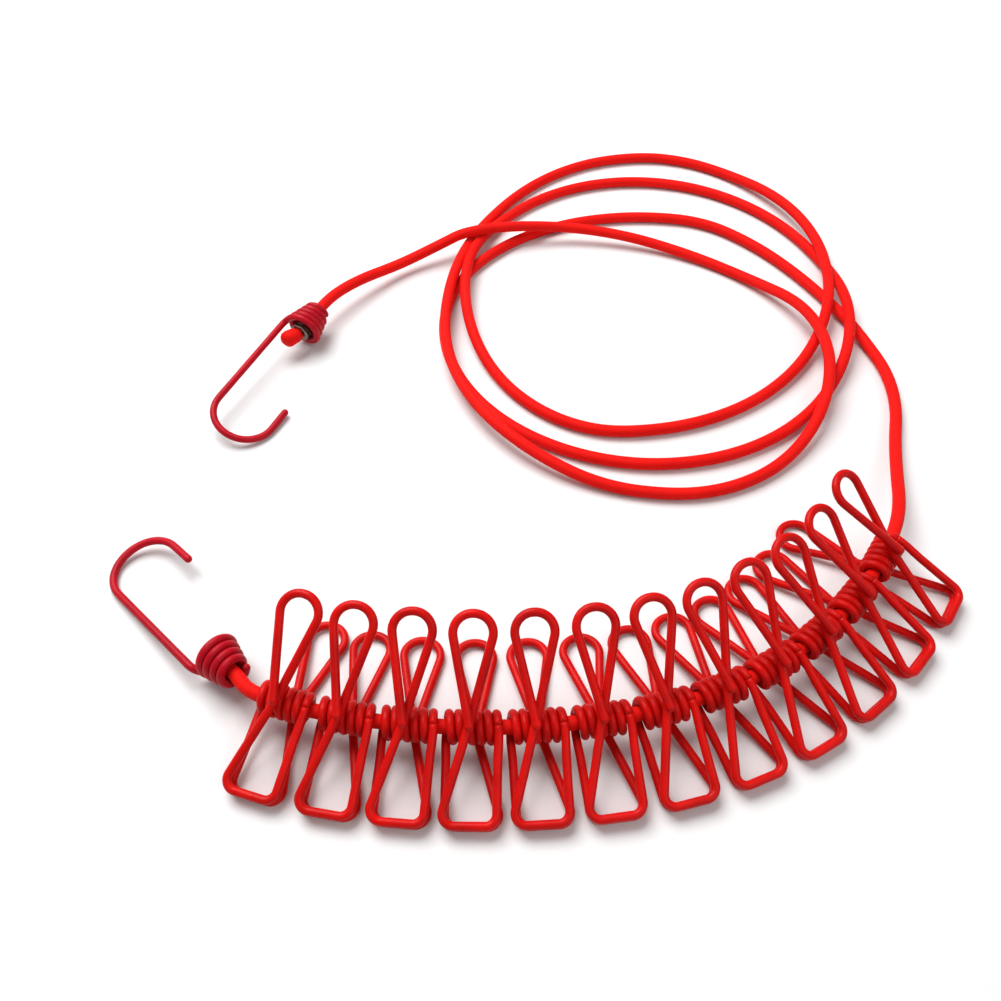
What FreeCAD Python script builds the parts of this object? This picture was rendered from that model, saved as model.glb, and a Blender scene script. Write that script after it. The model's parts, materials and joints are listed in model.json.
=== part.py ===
"""Elastic travel clothesline: a coiled elastic cord with twelve wire clips and a wire hook at each end.

It lies on a table, Z up, with the table at Z = 0 and the origin under the middle of the clips and hooks.
All lengths are in millimetres.
"""

import FreeCAD, Part
import math
import os

from FreeCAD import Placement, Rotation, Vector

# ---- Cord ----
CORD_D = 4.0
ROW_Z = 9.52  # height of the cord through the clips, which lie on their jaws and rear handles

# From inside the first hook to the loose coil: off the table, down to it, and up onto the turns.
HOOK_1_LEAD = [
    (-81.9, 83.4, 7.5),
    (-78.4, 90.5, 7.9),
    (-72.7, 102.4, 8.5),
    (-63.0, 114.3, 7.0),
    (-48.5, 127.8, 4.0),
    (-34.0, 136.6, 6.2),
    (-21.0, 143.5, 9.6),
]
# From under the loose coil's turns, up to and along the row of clips, and into the second hook.
CLIP_RUN = [
    (120.3, 98.8, 2.4),
    (124.8, 85.3, 2.3),
    (128.3, 69.3, 2.1),
    (129.5, 52.3, 2.1),
    (126.0, 35.8, 2.6),
    (121.5, 19.3, 5.2),
    (116.5, 3.3, 8.2),
    (109.3, -9.4, ROW_Z),
    (98.5, -25.0, ROW_Z),
    (86.5, -38.0, ROW_Z),
    (73.1, -48.6, ROW_Z),
    (58.5, -57.0, ROW_Z),
    (42.7, -63.4, ROW_Z),
    (26.3, -67.6, ROW_Z),
    (9.1, -70.0, ROW_Z),
    (-7.9, -71.0, ROW_Z),
    (-24.9, -70.8, ROW_Z),
    (-41.5, -69.4, ROW_Z),
    (-58.1, -66.6, ROW_Z),
    (-74.7, -61.4, ROW_Z),
    (-81.1, -55.2, 8.8),
    (-85.7, -50.9, 8.03),
    (-88.4, -48.3, 7.59),
]
FIRST_CLIP_RUN = 7  # each clip sits in the middle of one run, and this run holds clip 12
CLIP_COUNT = 12
ARC_SHARE = 0.45  # share of the shorter run that each bend takes up

# ---- Loose coil: the ring that its turns fill ----
COIL_OUTER_CENTRE, COIL_OUTER_RADII = (46.3, 109.3), (79.5, 99.0)
COIL_INNER_CENTRE, COIL_INNER_RADII = (40.8, 90.3), (60.0, 47.0)
COIL_HEIGHT = 10.0

# ---- Clip, made of one coated wire: two equal levers and the spring coil between them ----
# Clip axes: X along the cord, Z towards the handles, -Y towards the front lever.
WIRE_D = 2.4
CORD_CLEARANCE = 0.3
SPRING_R = CORD_D / 2 + CORD_CLEARANCE + WIRE_D / 2
SPRING_TURNS = 5.5
SPRING_PITCH = WIRE_D + 0.1
ROOT_GAP = 0.2  # each lever leaves the spring this far outside its last turn
SPRING_HALF = SPRING_TURNS * SPRING_PITCH / 2
FRONT_GAP_TURNS = 0.02  # the spring stops this short of the front lever, which turns about it
CROSSING_GAP = 0.2
JAW_LENGTH = 24.8
JAW_BAR_Y = WIRE_D / 2 + 0.025
JAW_STRAIGHT_X = 6.7
JAW_SLANTED_X = 8.2
JAW_CORNER_R = 3.0
CROSSING_X = 0.6
CROSSING_Y = SPRING_R + WIRE_D + CROSSING_GAP
CROSSING_R = 12.0
HANDLE_TOP_Z = 26.3
HANDLE_TOP_Y = 16.6
HANDLE_RIGHT_X = 6.9
HANDLE_LEFT_X = 6.1
HANDLE_R = 5.05
BLUNT_END_X = 0.3  # each lever's free end lies over its own crossing
BLUNT_END_Y = 8.0
BLUNT_END_Z = 2.2

# ---- Hook, made of one coated wire: a cone of close turns round the cord, a shank and a U ----
# Hook axes: X along the cord's end and on towards the U, which lies in the XY plane.
CONE_TURNS = 4.42  # leaves the wire heading down beside the axis, ready for the bend into the shank
CONE_PITCH = WIRE_D + 0.1
CONE_SMALL_R = CORD_D / 2 + 0.2 + WIRE_D / 2
CONE_BIG_R = 6.2
CONE_LENGTH = CONE_TURNS * CONE_PITCH
SHANK_BEND_R = 3.1
HOOK_LENGTH = 62.0
HOOK_INNER_Y = 14.2
HOOK_BEND_R = 10.4
HOOK_TIP_X = 42.5
HOOK_1_ROLL = -17.2  # about the cord, from lying flat with the U on its left
HOOK_2_ROLL = 171.0  # turned over

# ---- What holds the cord's end in a hook, in the hook's axes ----
HOOK_1_CORD_END_X = 12.4  # pushed out of the cone
HOOK_1_STOP_LENGTH = 6.6
HOOK_2_CORD_END_X = 9.9  # pulled into the cone
HOOK_2_STOP_LENGTH = 3.0
FERRULE_D = 7.2
FERRULE_LENGTH = 3.0
FERRULE_ROUNDING = 0.5
STOP_D = 6.2
STOP_ROUNDING = 2.2

END_ROUNDING = 0.8  # on every cut end of coated wire

# A new helix climbs +Z from a start at +X; this turns it to climb +X from a start at +Y.
HELIX_ALONG_X = Rotation(Vector(0, 1, 0), Vector(0, 0, 1), Vector(1, 0, 0), "ZXY")

PARTS = "parts"


def save(shape, node):
    """Write one solid as one node."""
    shape.exportStep(os.path.join(PARTS, node + ".step"))


def bend_radius(before, corner, after):
    """Radius of the largest arc that the two runs at a corner allow."""
    run_in, run_out = corner - before, after - corner
    half_turn = run_in.getAngle(run_out) / 2
    return ARC_SHARE * min(run_in.Length, run_out.Length) / math.tan(half_turn)


def bent_path(points, radii):
    """Straight runs through the points, joined by tangent arcs: one radius for each inner point."""
    edges = []
    start = points[0]
    for before, corner, after, radius in zip(points, points[1:], points[2:], radii):
        back = (before - corner).normalize()
        ahead = (after - corner).normalize()
        half_turn = (corner - before).getAngle(after - corner) / 2
        cut = radius * math.tan(half_turn)
        to_middle = (back + ahead).normalize() * (radius / math.cos(half_turn) - radius)
        arc_start, arc_end = corner + back * cut, corner + ahead * cut
        edges.append(Part.LineSegment(start, arc_start).toShape())
        edges.append(Part.Arc(arc_start, corner + to_middle, arc_end).toShape())
        start = arc_end
    edges.append(Part.LineSegment(start, points[-1]).toShape())
    return Part.Wire(edges)


def round_bar(path, diameter, direction):
    """Sweep a circle along a path that starts in the given direction."""
    start = path.Vertexes[0].Point
    circle = Part.Circle(start, direction, diameter / 2).toShape()
    return path.makePipeShell([Part.Wire([circle])], True, False)


def bent_bar(points, radii, diameter):
    """Round wire or cord through the points."""
    return round_bar(bent_path(points, radii), diameter, points[1] - points[0])


def cord_tube(route, name):
    """Cord along a route whose bends are as wide as its runs allow."""
    points = [Vector(*p) for p in route]
    radii = [bend_radius(*trio) for trio in zip(points, points[1:], points[2:])]
    path = bent_path(points, radii)
    tube = round_bar(path, CORD_D, points[1] - points[0])
    section = math.pi * CORD_D**2 / 4
    print(name, "bend radii", [round(r, 1) for r in radii])
    print(name, "length", round(path.Length, 1), "volume / (section x length)",
          round(tube.Volume / (section * path.Length), 4))
    return tube


def elliptic_slab(centre, radii, height):
    """Upright elliptic cylinder standing on the table."""
    slab = Part.makeCylinder(1.0, height)
    stretch = FreeCAD.Matrix()
    stretch.scale(radii[0], radii[1], 1.0)
    slab = slab.transformGeometry(stretch)
    slab.translate(Vector(centre[0], centre[1], 0))
    return slab


def loose_coil(tubes):
    """Ring that the loose turns fill, with a seat for each end of cord that joins it."""
    ring = elliptic_slab(COIL_OUTER_CENTRE, COIL_OUTER_RADII, COIL_HEIGHT)
    ring = ring.cut(elliptic_slab(COIL_INNER_CENTRE, COIL_INNER_RADII, COIL_HEIGHT))
    for tube in tubes:
        ring = ring.cut(tube)
    return ring.Solids[0]


def spring_coil():
    """Close turns about X, from the rear lever at -X round to the front lever at +X."""
    turns = SPRING_TURNS - FRONT_GAP_TURNS
    helix = Part.makeHelix(SPRING_PITCH, turns * SPRING_PITCH, SPRING_R)
    start = Vector(SPRING_R, 0, 0)
    heading = Vector(0, 2 * math.pi * SPRING_R, SPRING_PITCH)
    circle = Part.Circle(start, heading, WIRE_D / 2).toShape()
    coil = Part.Wire(helix.Edges).makePipeShell([Part.Wire([circle])], True, True)
    coil.Placement = Placement(Vector(-SPRING_HALF, 0, 0), HELIX_ALONG_X)
    return coil


def front_lever():
    """From the spring down to the jaw bar, up across the spring and round the handle to a blunt end."""
    points = [
        Vector(SPRING_HALF + ROOT_GAP, -SPRING_R, 0),
        Vector(JAW_STRAIGHT_X, -JAW_BAR_Y, -JAW_LENGTH),
        Vector(-JAW_SLANTED_X, -JAW_BAR_Y, -JAW_LENGTH),
        Vector(-CROSSING_X, -CROSSING_Y, 0),
        Vector(HANDLE_RIGHT_X, -HANDLE_TOP_Y, HANDLE_TOP_Z),
        Vector(-HANDLE_LEFT_X, -HANDLE_TOP_Y, HANDLE_TOP_Z),
        Vector(-BLUNT_END_X, -BLUNT_END_Y, -BLUNT_END_Z),
    ]
    radii = [JAW_CORNER_R, JAW_CORNER_R, CROSSING_R, HANDLE_R, HANDLE_R]
    return rounded_ends(bent_bar(points, radii, WIRE_D), [points[-1]])


def rear_lever():
    """The front lever, half a turn round the clip's Z axis."""
    lever = front_lever()
    lever.rotate(Vector(0, 0, 0), Vector(0, 0, 1), 180)
    return lever


def clip_placement(run_start, run_end):
    """A clip in the middle of a run, resting on its jaws and its rear handle."""
    lean = math.degrees(math.atan2(HANDLE_TOP_Y - JAW_BAR_Y, HANDLE_TOP_Z + JAW_LENGTH))
    along = run_end - run_start
    heading = math.degrees(math.atan2(along.y, along.x))
    turn = Rotation(Vector(0, 0, 1), heading) * Rotation(Vector(1, 0, 0), lean - 90)
    return Placement((run_start + run_end) / 2, turn)


def rest_height():
    """Height of a clip's spring axis when its jaws and rear handle touch the table."""
    lean = math.atan2(HANDLE_TOP_Y - JAW_BAR_Y, HANDLE_TOP_Z + JAW_LENGTH)
    return WIRE_D / 2 + JAW_LENGTH * math.sin(lean) + JAW_BAR_Y * math.cos(lean)


def rounded_ends(bar, ends):
    """Round the cut ends of a wire, which lie at the given points."""
    rims = [e for e in bar.Edges if any((e.CenterOfMass - end).Length < 0.01 for end in ends)]
    return bar.makeFillet(END_ROUNDING, rims).Solids[0]


def hook():
    """Cone of turns, a bend into the shank, and the U with its straight tip."""
    slope = (CONE_BIG_R - CONE_SMALL_R) / CONE_LENGTH
    helix = Part.makeHelix(CONE_PITCH, CONE_LENGTH, CONE_SMALL_R, math.degrees(math.atan(slope)))
    helix.Placement = Placement(Vector(0, 0, 0), HELIX_ALONG_X)
    turns = helix.Edges
    first, last = turns[0], turns[-1]
    small_end = first.valueAt(first.FirstParameter)
    circle = Part.Circle(small_end, first.tangentAt(first.FirstParameter), WIRE_D / 2).toShape()
    cone = Part.Wire(turns).makePipeShell([Part.Wire([circle])], True, True)
    big_end, heading = last.valueAt(last.LastParameter), last.tangentAt(last.LastParameter)
    bend = big_end + heading * (SHANK_BEND_R * 1.02)
    points = [
        big_end,
        bend,
        Vector(HOOK_LENGTH, bend.y, 0),
        Vector(HOOK_LENGTH, HOOK_INNER_Y, 0),
        Vector(HOOK_TIP_X, HOOK_INNER_Y, 0),
    ]
    shank = bent_bar(points, [SHANK_BEND_R, HOOK_BEND_R, HOOK_BEND_R], WIRE_D)
    return rounded_ends(cone.fuse(shank), [small_end, points[-1]])


def ferrule(cord_end_x):
    """Crimped metal ring on the cord, too wide for the cone's small end."""
    near_face = Vector(cord_end_x - FERRULE_LENGTH, 0, 0)
    ring = Part.makeCylinder(FERRULE_D / 2, FERRULE_LENGTH, near_face, Vector(1, 0, 0))
    ring = ring.makeFillet(FERRULE_ROUNDING, [e for e in ring.Edges if e.Length > FERRULE_D * 3])
    bore = Part.makeCylinder(CORD_D / 2, cord_end_x, Vector(0, 0, 0), Vector(1, 0, 0))
    return ring.cut(bore).Solids[0]


def cord_stop(cord_end_x, length):
    """Swollen end of the cord beyond its ferrule."""
    stop = Part.makeCylinder(STOP_D / 2, length, Vector(cord_end_x, 0, 0), Vector(1, 0, 0))
    outer_rim = [e for e in stop.Edges if e.CenterOfMass.x > cord_end_x + length - 0.01]
    return stop.makeFillet(STOP_ROUNDING, outer_rim).Solids[0]


def hook_placement(before_end, cord_end, cord_end_x, roll):
    """A hook about the last run of the cord, rolled about it until its U meets the table."""
    along = (cord_end - before_end).normalize()
    across = Vector(0, 0, 1).cross(along).normalize()
    flat = Rotation(along, across, along.cross(across), "XYZ")
    turn = flat * Rotation(Vector(1, 0, 0), roll)
    return Placement(cord_end - along * cord_end_x, turn)


def place_and_save(pieces, place, owner):
    """Save each named piece of one hook or clip at its place."""
    for name, piece in pieces.items():
        piece.Placement = place * piece.Placement
        save(piece, f"{owner}_{name}" if name else owner)


def main():
    os.makedirs(PARTS, exist_ok=True)
    print("clip rest height", round(rest_height(), 3), "cord height", ROW_Z)
    lead = cord_tube(HOOK_1_LEAD, "hook_1_lead")
    run = cord_tube(CLIP_RUN, "clip_run")
    save(lead, "cord_hook_1_lead")
    save(run, "cord_clip_run")
    save(loose_coil([lead, run]), "cord_loose_coil")
    ends = {
        "hook_1": (HOOK_1_LEAD[1::-1], HOOK_1_CORD_END_X, HOOK_1_STOP_LENGTH, HOOK_1_ROLL),
        "hook_2": (CLIP_RUN[-2:], HOOK_2_CORD_END_X, HOOK_2_STOP_LENGTH, HOOK_2_ROLL),
    }
    for owner, (last_run, cord_end_x, stop_length, roll) in ends.items():
        place = hook_placement(*(Vector(*point) for point in last_run), cord_end_x, roll)
        stop = cord_stop(cord_end_x, stop_length)
        place_and_save({"": hook(), "ferrule": ferrule(cord_end_x), "cord_stop": stop}, place, owner)
    for number in range(1, CLIP_COUNT + 1):
        at = FIRST_CLIP_RUN + CLIP_COUNT - number
        place = clip_placement(Vector(*CLIP_RUN[at + 1]), Vector(*CLIP_RUN[at]))
        pieces = {"front_lever": front_lever(), "spring_coil": spring_coil(), "rear_lever": rear_lever()}
        place_and_save(pieces, place, f"clip_{number:02d}")


if __name__ == "__main__":
    main()
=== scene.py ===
"""Elastic travel clothesline: the looks of its cord, clips and hooks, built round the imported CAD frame."""

import json
import math

import bpy
from mathutils import Matrix, Vector, noise


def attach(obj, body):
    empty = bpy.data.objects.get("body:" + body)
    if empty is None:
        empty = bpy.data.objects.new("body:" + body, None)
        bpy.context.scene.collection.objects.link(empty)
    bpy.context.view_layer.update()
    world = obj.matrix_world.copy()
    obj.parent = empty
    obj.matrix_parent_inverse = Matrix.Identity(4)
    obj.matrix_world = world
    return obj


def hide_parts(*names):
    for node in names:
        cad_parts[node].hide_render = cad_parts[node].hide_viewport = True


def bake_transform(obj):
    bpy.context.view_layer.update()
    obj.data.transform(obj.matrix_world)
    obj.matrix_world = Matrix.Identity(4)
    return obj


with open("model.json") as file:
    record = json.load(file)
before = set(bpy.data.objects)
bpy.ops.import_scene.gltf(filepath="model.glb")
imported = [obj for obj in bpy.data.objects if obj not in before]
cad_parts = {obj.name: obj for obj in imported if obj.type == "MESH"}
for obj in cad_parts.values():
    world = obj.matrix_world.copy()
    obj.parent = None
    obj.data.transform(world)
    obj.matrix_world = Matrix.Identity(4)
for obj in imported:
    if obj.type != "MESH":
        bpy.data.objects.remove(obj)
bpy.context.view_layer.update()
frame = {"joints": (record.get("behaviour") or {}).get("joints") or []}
JOINTS = {joint["name"]: joint for joint in frame["joints"]}

# Lengths are in metres and angles in degrees, unless a name or comment says otherwise.

# ---- Camera ----
CAMERA_PLACE = (-0.0090, -0.1817, 0.2465)
CAMERA_TILT = 38.2
CAMERA_LENS = 34.92  # millimetres, on the sensor below
SENSOR_WIDTH = 36.0

# ---- Cord: the route of part.py in metres, with the coil's turns as more points of the same line ----
CORD_D = 0.004
HOOK_1_LEAD = [
    (-0.0819, 0.0834, 0.0075),
    (-0.0784, 0.0905, 0.0079),
    (-0.0727, 0.1024, 0.0085),
    (-0.0630, 0.1143, 0.0070),
    (-0.0485, 0.1272, 0.0040),
    (-0.0340, 0.1360, 0.0062),
    (-0.0210, 0.1422, 0.0096),
]
# The coil's far, right, near and left sides in turn: where the line runs along +X, -Y, -X and +Y.
COIL_SIDES = [
    (0.0090, 0.1492), (0.1082, 0.0780), (0.0480, 0.0126), (-0.0304, 0.0920),
    (0.0530, 0.2053), (0.1185, 0.1270), (0.0325, 0.0396), (-0.0233, 0.1145),
    (0.0485, 0.1868), (0.1222, 0.1075), (0.0430, 0.0251), (-0.0309, 0.0950),
    (0.0485, 0.1615),
]
POINTS_PER_QUARTER = 5
COIL_REST = 0.00205  # height of the line where the cord lies on the table
COIL_RAMP = 0.07  # part of a turn over which the line climbs to a rise, or comes down from it
# Where the line rides over other turns: first and last turn number, and the height there.
COIL_RISES = [
    (0.00, 0.02, 0.0066), (0.22, 0.25, 0.0090), (0.25, 0.31, 0.0078), (0.62, 0.79, 0.0063),
    (1.18, 1.30, 0.0063), (1.74, 1.785, 0.0063), (2.266, 2.30, 0.0064),
]
COIL_EXIT = [
    (0.0740, 0.1580, 0.0021),
    (0.0920, 0.1438, 0.0021),
    (0.1070, 0.1245, 0.0021),
]
CLIP_RUN = [
    (0.1203, 0.0988, 0.0024),
    (0.1248, 0.0853, 0.0023),
    (0.1292, 0.0693, 0.0021),
    (0.1284, 0.0523, 0.0021),
    (0.1235, 0.0358, 0.0026),
    (0.1191, 0.0193, 0.0052),
    (0.1152, 0.0033, 0.0082),
    (0.1093, -0.0094, 0.00952),
    (0.0985, -0.0250, 0.00952),
    (0.0865, -0.0380, 0.00952),
    (0.0731, -0.0486, 0.00952),
    (0.0585, -0.0570, 0.00952),
    (0.0427, -0.0634, 0.00952),
    (0.0263, -0.0676, 0.00952),
    (0.0091, -0.0700, 0.00952),
    (-0.0079, -0.0710, 0.00952),
    (-0.0249, -0.0708, 0.00952),
    (-0.0415, -0.0694, 0.00952),
    (-0.0581, -0.0666, 0.00952),
    (-0.0763, -0.0612, 0.00952),
    (-0.0811, -0.0552, 0.0088),
    (-0.0857, -0.0509, 0.00803),
    (-0.0884, -0.0483, 0.00759),
]

# ---- Clip and hook wire, in the axes and sizes of part.py ----
CLIP_COUNT = 12
WIRE_R = 0.0012
SPRING_R = 0.0035
SPRING_TURNS = 5.5
SPRING_PITCH = 0.0025
SPRING_HALF = SPRING_TURNS * SPRING_PITCH / 2
JAW_LENGTH = 0.0248
JAW_BAR_Y = 0.001225
JAW_STRAIGHT_X = 0.0067
JAW_SLANTED_X = 0.0082
JAW_CORNER_R = 0.003
CROSSING_X = 0.0006
CROSSING_Y = 0.0061
CROSSING_R = 0.012
HANDLE_TOP_Z = 0.0263
HANDLE_TOP_Y = 0.0166
HANDLE_RIGHT_X = 0.0069
HANDLE_LEFT_X = 0.0061
HANDLE_R = 0.00505
BLUNT_END = (-0.0003, -0.0080, -0.0022)  # the wire's free end, lying over its own crossing
ROOT_EASE = 0.009  # length over which a lever straightens out of the spring's last turn
ROOT_POINTS = 10
CLIP_LEAN = math.atan2(HANDLE_TOP_Y - JAW_BAR_Y, HANDLE_TOP_Z + JAW_LENGTH)  # radians
TIP_SWELL = 1.1  # the coating gathers at a lever's free end
TIP_SWELL_LENGTH = 0.004

CONE_TURNS = 4.42
CONE_X = 0.01071
CONE_SMALL_R = 0.0034
CONE_BIG_R = 0.00611
SHANK_START = (0.01091, -0.00692, 0.00020)
SHANK_Y = -0.00692
SHANK_BEND_R = 0.0031
HOOK_LENGTH = 0.062
HOOK_INNER_Y = 0.0142
HOOK_BEND_R = 0.0104
HOOK_TIP_X = 0.0425
HOOK_ROLLS = {"hook_1": -17.2, "hook_2": 171.0}
CORD_END_X = {"hook_1": 0.0124, "hook_2": 0.0099}
FERRULE_LENGTH = 0.003
# The crimp's outline: distance from its inner face, and radius there.
FERRULE_PROFILE = [
    (0.0, 0.0030), (0.0001, 0.0032), (0.0005, 0.0033), (0.0014, 0.0034), (0.0020, 0.0032),
    (0.0024, 0.0034), (0.0027, 0.0036), (0.0030, 0.0035), (0.00305, 0.0030),
]
CRIMP_JAWS = 6  # flats pressed round the crimp, and how deep they are as a share of its radius
CRIMP_DEPTH = 0.05

# ---- Fineness of the meshes ----
WIRE_SIDES = 18
CORD_SIDES = 20
CORD_END_SIDES = 28
CRIMP_SIDES = 36
CORD_STEPS = 16  # mesh rings between two points of the cord's route
SPRING_TURN_STEPS = 26
CONE_TURN_STEPS = 28
RUN_STEP = 0.0016
ARC_STEP = math.radians(7)
END_CAP_ANGLES = (0, 20, 40, 58, 74, 86)

# How uneven the dipped coating is: share of the radius, and bumps in a metre.
COATING_SWING = 0.03
COATING_SCALE = 160

# The cord's swollen end beyond each crimp, in the hook's XY plane from the crimp's outer
# face: line, then radii.
CORD_ENDS = {
    "hook_1": (
        [(0.0, 0.0), (0.0010, -0.0003), (0.0020, -0.0008), (0.0031, -0.0013), (0.0042, -0.0017),
         (0.0051, -0.0019), (0.0058, -0.0020), (0.0063, -0.0021), (0.0066, -0.0021)],
        [0.0021, 0.0025, 0.0028, 0.0029, 0.0030, 0.0029, 0.0025, 0.0018, 0.0008],
    ),
    "hook_2": (
        [(0.0, 0.0), (0.0008, -0.0001), (0.0015, -0.0002), (0.0021, -0.0003), (0.0026, -0.0003),
         (0.0030, -0.0003)],
        [0.0022, 0.0027, 0.0029, 0.0027, 0.0020, 0.0009],
    ),
}


# ---- Lines ----
def coil_height(turn):
    """Height of the coil's line at a turn number: on the table, with smooth humps over the turns below."""
    height = COIL_REST
    for first, last, top in COIL_RISES:
        away = max(first - turn, turn - last, 0) / COIL_RAMP
        if away < 1:
            share = (1 - away) ** 2 * (1 + 2 * away)
            height = max(height, COIL_REST + (top - COIL_REST) * share)
    return height


def coil_turns():
    """The loose turns, each quarter an elliptic arc from one side of the coil to the next."""
    points = []
    for quarter, (a, b) in enumerate(zip(COIL_SIDES, COIL_SIDES[1:])):
        for step in range(POINTS_PER_QUARTER):
            angle = step / POINTS_PER_QUARTER * math.pi / 2
            across, down = math.sin(angle), 1 - math.cos(angle)
            if quarter % 2:
                across, down = down, across
            turn = (quarter + step / POINTS_PER_QUARTER) / 4
            x, y = a[0] + (b[0] - a[0]) * across, a[1] + (b[1] - a[1]) * down
            points.append((x, y, coil_height(turn)))
    turns = (len(COIL_SIDES) - 1) / 4
    points.append((*COIL_SIDES[-1], coil_height(turns)))
    return points


def spline_points(route):
    """Points read from the smooth spline whose control points are the route."""
    data = bpy.data.curves.new("cord_route", "CURVE")
    data.dimensions = "3D"
    data.resolution_u = CORD_STEPS
    spline = data.splines.new("NURBS")
    spline.points.add(len(route) - 1)
    for point, place in zip(spline.points, route):
        point.co = (*place, 1)
    spline.order_u = 3
    spline.use_endpoint_u = True
    holder = bpy.data.objects.new("cord_route", data)
    bpy.context.scene.collection.objects.link(holder)
    bpy.context.view_layer.update()
    read = bpy.data.meshes.new_from_object(holder.evaluated_get(bpy.context.evaluated_depsgraph_get()))
    points = [vertex.co.copy() for vertex in read.vertices]
    bpy.data.meshes.remove(read)
    bpy.data.objects.remove(holder)
    bpy.data.curves.remove(data)
    return points


def run_points(start, end):
    """Points along a straight run, without its end."""
    count = max(1, round((end - start).length / RUN_STEP))
    return [start.lerp(end, step / count) for step in range(count)]


def bent_line(corners, radii):
    """Straight runs through the corners, joined by tangent arcs: one radius for each inner corner."""
    corners = [Vector(corner) for corner in corners]
    line, start = [], corners[0]
    for before, corner, after, radius in zip(corners, corners[1:], corners[2:], radii):
        back, ahead = (before - corner).normalized(), (after - corner).normalized()
        turn = math.pi - back.angle(ahead)
        cut = radius * math.tan(turn / 2)
        middle = corner + (back + ahead).normalized() * radius / math.cos(turn / 2)
        first, last = corner + back * cut - middle, corner + ahead * cut - middle
        line += run_points(start, middle + first)
        count = math.ceil(turn / ARC_STEP)
        for step in range(count):
            share = step / count
            spoke = first * math.sin((1 - share) * turn) + last * math.sin(share * turn)
            line.append(middle + spoke / math.sin(turn))
        start = middle + last
    return line + run_points(start, corners[-1]) + [corners[-1]]


def eased_root(root, heading, line, length):
    """A line that leaves root along heading and joins the given line at about length from its start."""
    at = next(i for i, point in enumerate(line) if (point - line[0]).length > length)
    join, onward = line[at], (line[at + 1] - line[at]).normalized()
    reach = (join - root).length
    eased = []
    for step in range(ROOT_POINTS):
        t = step / ROOT_POINTS
        eased.append(
            root * (2 * t**3 - 3 * t**2 + 1) + heading * reach * (t**3 - 2 * t**2 + t)
            + join * (3 * t**2 - 2 * t**3) + onward * reach * (t**3 - t**2)
        )
    return eased + line[at:]


def spring_point(angle):
    """A point of the spring's centreline in a clip's axes, from the rear lever at -X."""
    along = -SPRING_HALF + SPRING_PITCH * angle / (2 * math.pi)
    return Vector((along, SPRING_R * math.cos(angle), SPRING_R * math.sin(angle)))


def spring_line():
    """The spring's centreline, from the rear lever to the front one."""
    count = round(SPRING_TURNS * SPRING_TURN_STEPS)
    return [spring_point(2 * math.pi * SPRING_TURNS * step / count) for step in range(count + 1)]


def front_lever_line():
    """From the spring's last turn round the jaw and handle to the blunt end, in a clip's axes."""
    root = Vector((SPRING_HALF, -SPRING_R, 0))
    heading = Vector((SPRING_PITCH / (2 * math.pi), 0, -SPRING_R)).normalized()
    corners = [
        root,
        (JAW_STRAIGHT_X, -JAW_BAR_Y, -JAW_LENGTH),
        (-JAW_SLANTED_X, -JAW_BAR_Y, -JAW_LENGTH),
        (-CROSSING_X, -CROSSING_Y, 0),
        (HANDLE_RIGHT_X, -HANDLE_TOP_Y, HANDLE_TOP_Z),
        (-HANDLE_LEFT_X, -HANDLE_TOP_Y, HANDLE_TOP_Z),
        BLUNT_END,
    ]
    line = bent_line(corners, [JAW_CORNER_R, JAW_CORNER_R, CROSSING_R, HANDLE_R, HANDLE_R])
    return eased_root(root, heading, line, ROOT_EASE)


def hook_line():
    """Cone of turns from its small end, the shank and the U, in a hook's axes."""
    count = round(CONE_TURNS * CONE_TURN_STEPS)
    cone = []
    for step in range(count):
        share = step / count
        angle = 2 * math.pi * CONE_TURNS * share
        radius = CONE_SMALL_R + (CONE_BIG_R - CONE_SMALL_R) * share
        cone.append(Vector((CONE_X * share, radius * math.cos(angle), radius * math.sin(angle))))
    last = 2 * math.pi * CONE_TURNS
    corners = [
        (CONE_X, CONE_BIG_R * math.cos(last), CONE_BIG_R * math.sin(last)),
        SHANK_START,
        (HOOK_LENGTH, SHANK_Y, 0),
        (HOOK_LENGTH, HOOK_INNER_Y, 0),
        (HOOK_TIP_X, HOOK_INNER_Y, 0),
    ]
    return cone + bent_line(corners, [SHANK_BEND_R, HOOK_BEND_R, HOOK_BEND_R])


# ---- Meshes ----
def uneven(line, radius, seed):
    """A radius for each point of a line, gently uneven as a dipped coating is."""
    aside = Vector((seed, 0, 0))
    return [radius * (1 + COATING_SWING * noise.noise(point * COATING_SCALE + aside)) for point in line]


def rounded_off(line, radii, swell=1.0, over=0.0):
    """The line and radii with the far end rounded, swelling towards it over the given length."""
    lengths = [(line[-1] - point).length for point in line]
    radii = [
        r * (1 + (swell - 1) * max(0.0, 1 - away / over) ** 2) if over else r
        for r, away in zip(radii, lengths)
    ]
    end_radius, ahead = radii[-1], (line[-1] - line[-2]).normalized()
    kept = [i for i, away in enumerate(lengths) if away > end_radius * 1.02]
    line, radii, tip = [line[i] for i in kept], [radii[i] for i in kept], line[-1]
    for degrees in END_CAP_ANGLES:
        angle = math.radians(degrees)
        line.append(tip - ahead * end_radius * (1 - math.sin(angle)))
        radii.append(end_radius * math.cos(angle))
    return line, radii


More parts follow.
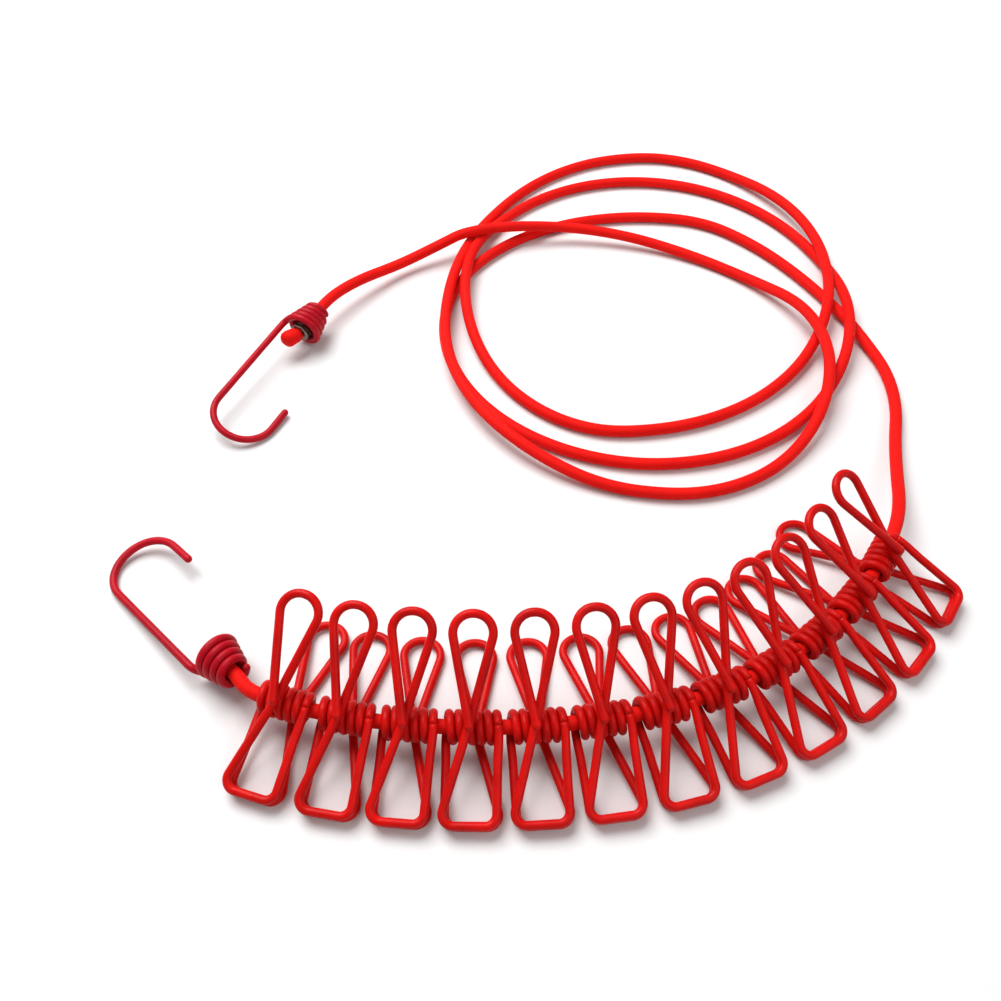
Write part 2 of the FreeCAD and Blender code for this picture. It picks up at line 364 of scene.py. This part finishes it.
def swept(name, line, radii, place, material, slot, sides=WIRE_SIDES, squeeze=None):
    """Closed round bar along a line, with a UV map of metres along it and turns round it.

    squeeze gives the share of the radius kept at each angle round the bar.
    """
    headings = [(b - a).normalized() for a, b in zip(line, line[1:])]
    between = [(a + b).normalized() for a, b in zip(headings, headings[1:])]
    tangents = [headings[0], *between, headings[-1]]
    side = tangents[0].orthogonal().normalized()
    vertices, reach = [], [0.0]
    for index, (point, tangent, radius) in enumerate(zip(line, tangents, radii)):
        if index:
            side = tangents[index - 1].rotation_difference(tangent) @ side
            reach.append(reach[-1] + (point - line[index - 1]).length)
        side = (side - tangent * side.dot(tangent)).normalized()
        up = tangent.cross(side)
        for step in range(sides):
            angle = 2 * math.pi * step / sides
            r = radius * (squeeze(angle) if squeeze else 1)
            vertices.append(point + side * (r * math.cos(angle)) + up * (r * math.sin(angle)))
    rings = len(line)
    faces, uvs = [], []
    for ring in range(rings - 1):
        for step in range(sides):
            near, far = ring * sides, (ring + 1) * sides
            onward = (step + 1) % sides
            faces.append((near + step, near + onward, far + onward, far + step))
            a, b = step / sides, (step + 1) / sides
            uvs += [(reach[ring], a), (reach[ring], b), (reach[ring + 1], b), (reach[ring + 1], a)]
    for ring, centre in ((0, line[0]), (rings - 1, line[-1])):
        hub = len(vertices)
        vertices.append(Vector(centre))
        for step in range(sides):
            a, b = ring * sides + step, ring * sides + (step + 1) % sides
            faces.append((hub, b, a) if ring == 0 else (hub, a, b))
            uvs += [(reach[ring], 0.5), (reach[ring], step / sides), (reach[ring], (step + 1) / sides)]
    mesh = bpy.data.meshes.new(name)
    mesh.from_pydata([place @ vertex for vertex in vertices], [], faces)
    layer = mesh.uv_layers.new(name="along")
    layer.data.foreach_set("uv", [value for uv in uvs for value in uv])
    mesh.shade_smooth()
    mesh.materials.append(material)
    piece = bpy.data.objects.new(name, mesh)
    bpy.context.scene.collection.objects.link(piece)
    return piece


# ---- Materials ----
class Nodes:
    """A material's node tree, with short calls for the nodes used here."""

    def __init__(self, name):
        self.material = bpy.data.materials.new(name)
        self.material.use_nodes = True
        self.tree = self.material.node_tree
        self.shader = self.tree.nodes["Principled BSDF"]

    def link(self, source, target):
        self.tree.links.new(source, target)

    def add(self, kind, **settings):
        node = self.tree.nodes.new(kind)
        for name, value in settings.items():
            setattr(node, name, value)
        return node

    def math(self, operation, first, second=None):
        node = self.add("ShaderNodeMath", operation=operation)
        for socket, value in zip(node.inputs, (first, second)):
            if isinstance(value, (int, float)):
                socket.default_value = value
            elif value is not None:
                self.link(value, socket)
        return node.outputs[0]

    def noise(self, vector, scale, detail=3.0, roughness=0.55):
        node = self.add("ShaderNodeTexNoise")
        node.inputs["Scale"].default_value = scale
        node.inputs["Detail"].default_value = detail
        node.inputs["Roughness"].default_value = roughness
        self.link(vector, node.inputs["Vector"])
        return node.outputs["Fac"]

    def ramp(self, factor, stops):
        """Colour or grey value by factor: stops are (position, colour)."""
        node = self.add("ShaderNodeValToRGB")
        elements = node.color_ramp.elements
        while len(elements) < len(stops):
            elements.new(0.5)
        for element, (position, colour) in zip(elements, stops):
            element.position = position
            element.color = (*colour, 1) if isinstance(colour, tuple) else (colour, colour, colour, 1)
        self.link(factor, node.inputs["Fac"])
        return node.outputs["Color"]

    def mix(self, factor, first, second, blend="MIX"):
        node = self.add("ShaderNodeMix", data_type="RGBA", blend_type=blend)
        for socket, value in zip((node.inputs[0], node.inputs[6], node.inputs[7]), (factor, first, second)):
            if isinstance(value, tuple):
                socket.default_value = (*value, 1)
            elif isinstance(value, (int, float)):
                socket.default_value = value
            else:
                self.link(value, socket)
        return node.outputs[2]

    def bump(self, height, distance, strength=1.0, after=None):
        node = self.add("ShaderNodeBump")
        node.inputs["Distance"].default_value = distance
        node.inputs["Strength"].default_value = strength
        self.link(height, node.inputs["Height"])
        if after:
            self.link(after, node.inputs["Normal"])
        return node.outputs["Normal"]


def coated_wire(name, light, dark, roughness):
    """Plastic-dipped wire: a slightly uneven satin skin with small scuffs."""
    n = Nodes(name)
    place = n.add("ShaderNodeTexCoord").outputs["Object"]
    blotch = n.noise(place, 90, 3)
    colour = n.ramp(blotch, [(0.30, dark), (0.68, light)])
    stretched = n.add("ShaderNodeMapping")
    stretched.inputs["Scale"].default_value = (1.0, 2.4, 0.7)
    n.link(place, stretched.inputs["Vector"])
    scuff = n.ramp(n.noise(stretched.outputs["Vector"], 620, 6, 0.7), [(0.60, 0.0), (0.72, 1.0)])
    pale = tuple(0.8 * value + 0.03 for value in light)
    n.link(n.mix(n.math("MULTIPLY", scuff, 0.35), colour, pale), n.shader.inputs["Base Color"])
    grain = n.math("MULTIPLY", n.noise(place, 300, 4), 0.22)
    rough = n.math("ADD", n.math("ADD", grain, roughness - 0.11), n.math("MULTIPLY", scuff, 0.22))
    n.link(rough, n.shader.inputs["Roughness"])
    soft = n.bump(n.noise(place, 420, 2), 0.00022, 0.6)
    n.link(n.bump(n.noise(place, 2600, 4), 0.00003, 0.5, soft), n.shader.inputs["Normal"])
    n.shader.inputs["IOR"].default_value = 1.5
    n.shader.inputs["Specular IOR Level"].default_value = 0.11
    n.shader.inputs["Coat Weight"].default_value = 0.03
    n.shader.inputs["Coat Roughness"].default_value = 0.2
    return n.material


def braided_cord(name):
    """Tightly braided fabric sleeve: two sets of strands that wind opposite ways, with painted shade in the
    gaps between them.
    """
    n = Nodes(name)
    strands, per_metre = 12, 860
    uv = n.add("ShaderNodeUVMap", uv_map="along").outputs["UV"]
    parts = n.add("ShaderNodeSeparateXYZ")
    n.link(uv, parts.inputs["Vector"])
    along = n.math("MULTIPLY", parts.outputs["X"], per_metre * 2 * math.pi)
    round_it = n.math("MULTIPLY", parts.outputs["Y"], strands * 2 * math.pi)
    left = n.math("SINE", n.math("ADD", along, round_it))
    right = n.math("SINE", n.math("SUBTRACT", along, round_it))
    over = n.math("MAXIMUM", left, right)
    height = n.math("MULTIPLY_ADD", over, 0.5)
    height.node.inputs[2].default_value = 0.5
    place = n.add("ShaderNodeTexCoord").outputs["Object"]
    tone = n.ramp(n.noise(place, 60, 3), [(0.3, (0.72, 0.006, 0.004)), (0.7, (0.82, 0.008, 0.005))])
    # Painted shade: the base colour is darkened down to 0.78 where the weave dips between strands.
    strand_gap_shade = n.ramp(height, [(0.25, 0.78), (0.75, 1.0)])
    n.link(n.mix(0.55, tone, strand_gap_shade, "MULTIPLY"), n.shader.inputs["Base Color"])
    fibre = n.noise(place, 5200, 3)
    n.link(n.math("ADD", n.math("MULTIPLY", fibre, 0.2), 0.55), n.shader.inputs["Roughness"])
    weave = n.bump(height, 0.00007, 0.7)
    n.link(n.bump(fibre, 0.00003, 0.5, weave), n.shader.inputs["Normal"])
    n.shader.inputs["Specular IOR Level"].default_value = 0.08
    n.shader.inputs["Sheen Weight"].default_value = 0.03
    n.shader.inputs["Sheen Roughness"].default_value = 0.5
    n.shader.inputs["Sheen Tint"].default_value = (1.0, 0.25, 0.2, 1)
    return n.material


def crimped_metal(name):
    """Dull plated steel with marks of the crimping tool."""
    n = Nodes(name)
    place = n.add("ShaderNodeTexCoord").outputs["Object"]
    tarnish = n.noise(place, 700, 5, 0.65)
    tone = n.ramp(tarnish, [(0.3, (0.10, 0.08, 0.06)), (0.7, (0.36, 0.33, 0.28))])
    n.link(tone, n.shader.inputs["Base Color"])
    n.link(n.math("ADD", n.math("MULTIPLY", tarnish, 0.3), 0.25), n.shader.inputs["Roughness"])
    n.link(n.bump(n.noise(place, 2200, 4), 0.00005, 0.7), n.shader.inputs["Normal"])
    n.shader.inputs["Metallic"].default_value = 1.0
    return n.material


def floor_material():
    """Plain pale floor, very faintly cloudy."""
    n = Nodes("pale_floor")
    place = n.add("ShaderNodeTexCoord").outputs["Object"]
    n.link(n.ramp(n.noise(place, 8, 2), [(0.3, 0.75), (0.7, 0.77)]), n.shader.inputs["Base Color"])
    n.shader.inputs["Roughness"].default_value = 0.9
    n.shader.inputs["Specular IOR Level"].default_value = 0.1
    return n.material


# ---- Camera, floor and light ----
def add_camera():
    data = bpy.data.cameras.new("camera")
    data.lens = CAMERA_LENS
    data.sensor_width = SENSOR_WIDTH
    data.clip_start = 0.01
    camera = bpy.data.objects.new("camera", data)
    camera.location = CAMERA_PLACE
    camera.rotation_euler = (math.radians(CAMERA_TILT), 0, 0)
    bpy.context.scene.collection.objects.link(camera)
    bpy.context.scene.camera = camera


def add_light(name, place, target, size, power):
    data = bpy.data.lights.new(name, "AREA")
    data.size = size
    data.energy = power
    light = bpy.data.objects.new(name, data)
    light.location = place
    light.rotation_euler = (Vector(target) - Vector(place)).to_track_quat("-Z", "Y").to_euler()
    bpy.context.scene.collection.objects.link(light)


def add_surroundings():
    """A plain pale floor just under the cord, an even sky and two soft lights."""
    reach, level = 3.0, -0.0002
    mesh = bpy.data.meshes.new("floor")
    mesh.from_pydata(
        [(-reach, -reach, level), (reach, -reach, level), (reach, reach, level), (-reach, reach, level)],
        [], [(0, 1, 2, 3)],
    )
    mesh.materials.append(floor_material())
    floor = bpy.data.objects.new("floor", mesh)
    bpy.context.scene.collection.objects.link(floor)
    world = bpy.data.worlds.new("studio")
    world.use_nodes = True
    world.node_tree.nodes["Background"].inputs["Color"].default_value = (1, 1, 1, 1)
    world.node_tree.nodes["Background"].inputs["Strength"].default_value = 0.27
    bpy.context.scene.world = world
    middle = (0.0, 0.05, 0.0)
    add_light("key", (-0.35, 0.45, 0.9), middle, 0.8, 16.5)
    add_light("fill", (0.7, -0.5, 0.8), middle, 0.9, 4)
    bpy.context.scene.view_settings.view_transform = "Standard"


# ---- The object ----
def add_cord(material):
    """The whole cord as one bar, and the line it follows."""
    line = spline_points(HOOK_1_LEAD + coil_turns() + COIL_EXIT + CLIP_RUN)
    radii = [CORD_D / 2] * len(line)
    cord = swept("cord", line, radii, Matrix.Identity(4), material, "cord", sides=CORD_SIDES)
    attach(cord, "line")
    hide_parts("cord_hook_1_lead", "cord_loose_coil", "cord_clip_run")
    return cord, line


def add_clip(number, material):
    """One clip's wire in three pieces: rear lever, spring and front lever."""
    name = f"clip_{number:02d}"
    swing = JOINTS[name + "_swing"]
    axis = Vector(swing["axis"])
    place = (
        Matrix.Translation(swing["pos_m"])
        @ Matrix.Rotation(math.atan2(axis.y, axis.x), 4, "Z")
        @ Matrix.Rotation(CLIP_LEAN - math.pi / 2, 4, "X")
    )
    half_turn = Matrix.Rotation(math.pi, 4, "Z")
    line = front_lever_line()
    for side, turned, body in (("front", Matrix.Identity(4), name + "_front"), ("rear", half_turn, name)):
        radii = uneven(line, WIRE_R, seed=number * 7 + len(side))
        bar = rounded_off(line, radii, TIP_SWELL, TIP_SWELL_LENGTH)
        lever = swept(f"{name}_{side}_wire", *bar, place @ turned, material, "clip_wire")
        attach(lever, body)
        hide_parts(f"{name}_{side}_lever")
    turns = spring_line()
    spring = swept(f"{name}_spring_wire", turns, [WIRE_R] * len(turns), place, material, "clip_wire")
    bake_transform(spring)
    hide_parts(name + "_spring_coil")


def hook_place(name):
    """Placement of a hook's axes from its swivel joint and its roll about the cord."""
    swivel = JOINTS[name + "_swivel"]
    along = Vector(swivel["axis"])
    across = Vector((0, 0, 1)).cross(along).normalized()
    flat = Matrix((along, across, along.cross(across))).transposed().to_4x4()
    roll = Matrix.Rotation(math.radians(HOOK_ROLLS[name]), 4, "X")
    return Matrix.Translation(swivel["pos_m"]) @ flat @ roll


def add_hook(name, wire, metal, sleeve):
    """A hook's wire, and the crimp and swollen cord end inside its cone."""
    place = hook_place(name)
    line = hook_line()
    line, radii = rounded_off(line, uneven(line, WIRE_R, seed=3))
    line, radii = rounded_off(line[::-1], radii[::-1])
    hook = swept(name + "_wire", line, radii, place, wire, "hook_wire")
    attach(hook, name)
    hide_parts(name)

    cord_end = CORD_END_X[name]
    start = cord_end - FERRULE_LENGTH
    line = [Vector((start + x, 0, 0)) for x, _ in FERRULE_PROFILE]
    radii = [radius for _, radius in FERRULE_PROFILE]
    crimp = swept(name + "_crimp", line, radii, place, metal, "ferrule", sides=CRIMP_SIDES,
                  squeeze=lambda angle: 1 - CRIMP_DEPTH * max(0.0, math.cos(CRIMP_JAWS * angle)))
    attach(crimp, "line")
    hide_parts(name + "_ferrule")

    line, radii = CORD_ENDS[name]
    line = [Vector((cord_end + x, y, 0)) for x, y in line]
    swelling = swept(name + "_cord_end", line, radii, place, sleeve, "cord", sides=CORD_END_SIDES)
    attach(swelling, "line")
    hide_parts(name + "_cord_stop")
    return [hook, crimp, swelling]


def main():
    add_camera()
    sleeve = braided_cord("cord_braid")
    clip_wire = coated_wire("clip_coating", (0.63, 0.0040, 0.0025), (0.47, 0.003, 0.002), 0.40)
    hook_wire = coated_wire("hook_coating", (0.48, 0.0040, 0.015), (0.36, 0.003, 0.011), 0.40)
    metal = crimped_metal("crimp_metal")
    cord, line = add_cord(sleeve)
    ends = add_hook("hook_1", hook_wire, metal, sleeve) + add_hook("hook_2", hook_wire, metal, sleeve)
    for number in range(1, CLIP_COUNT + 1):
        add_clip(number, clip_wire)
    add_surroundings()


main()
